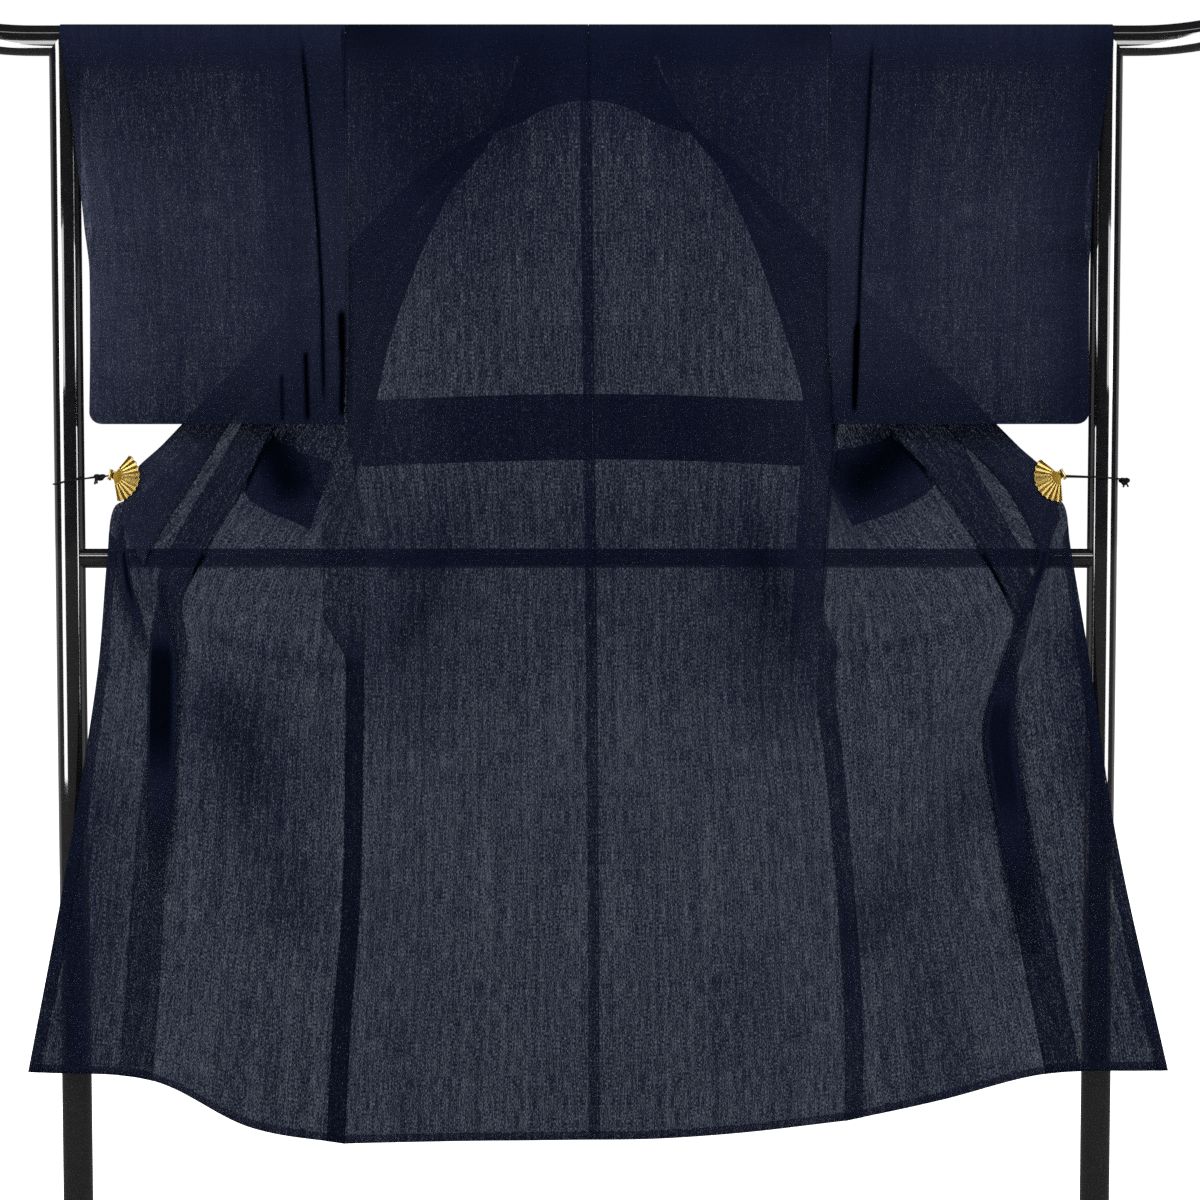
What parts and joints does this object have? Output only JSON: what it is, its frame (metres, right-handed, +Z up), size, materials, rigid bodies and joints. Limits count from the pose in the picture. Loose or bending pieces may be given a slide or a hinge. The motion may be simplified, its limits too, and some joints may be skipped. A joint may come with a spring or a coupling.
{
  "type": "kimono on a garment rack",
  "caption": "Sheer unlined summer kimono hung by its sleeves on a black metal rack, back outwards, its fronts held open by fan-shaped clips tied to the posts.",
  "frame": {"origin": "on the floor, midway between the posts and on the top bar's line", "axes": "+X along the top bar, to the right as seen from behind the garment; +Z up; the back of the kimono faces -Y"},
  "size_m": [1.7302, 0.43, 1.6695],
  "materials": {
    "sheer_cloth": "sheer leno weave, midnight blue",
    "collar_cloth": "the same sheer cloth folded double",
    "gloss_metal": "gloss black",
    "gold_metal": "polished, gold coloured",
    "black_cord": "thin braided cord",
    "pad_rubber": "matte"
  },
  "bodies": {
    "root": {"post_left": "gloss_metal", "end_cap_left": "gloss_metal", "foot_left": "gloss_metal", "socket_left": "gloss_metal", "pad_left_front": "pad_rubber", "pad_left_back": "pad_rubber", "post_right": "gloss_metal", "end_cap_right": "gloss_metal", "foot_right": "gloss_metal", "socket_right": "gloss_metal", "pad_right_front": "pad_rubber", "pad_right_back": "pad_rubber", "top_bar": "gloss_metal", "cross_bar": "gloss_metal", "clip_fan_left": "gold_metal", "clip_jaw_left": "gold_metal", "clip_pin_left": "gold_metal", "tie_left": "black_cord", "body_left": "sheer_cloth", "okumi_left": "sheer_cloth", "sleeve_left": "sheer_cloth", "back_tuck_left": "sheer_cloth", "front_tuck_left": "sheer_cloth", "clip_fan_right": "gold_metal", "clip_jaw_right": "gold_metal", "clip_pin_right": "gold_metal", "tie_right": "black_cord", "body_right": "sheer_cloth", "okumi_right": "sheer_cloth", "sleeve_right": "sheer_cloth", "back_tuck_right": "sheer_cloth", "front_tuck_right": "sheer_cloth", "collar": "collar_cloth"}
  },
  "joints": []
}
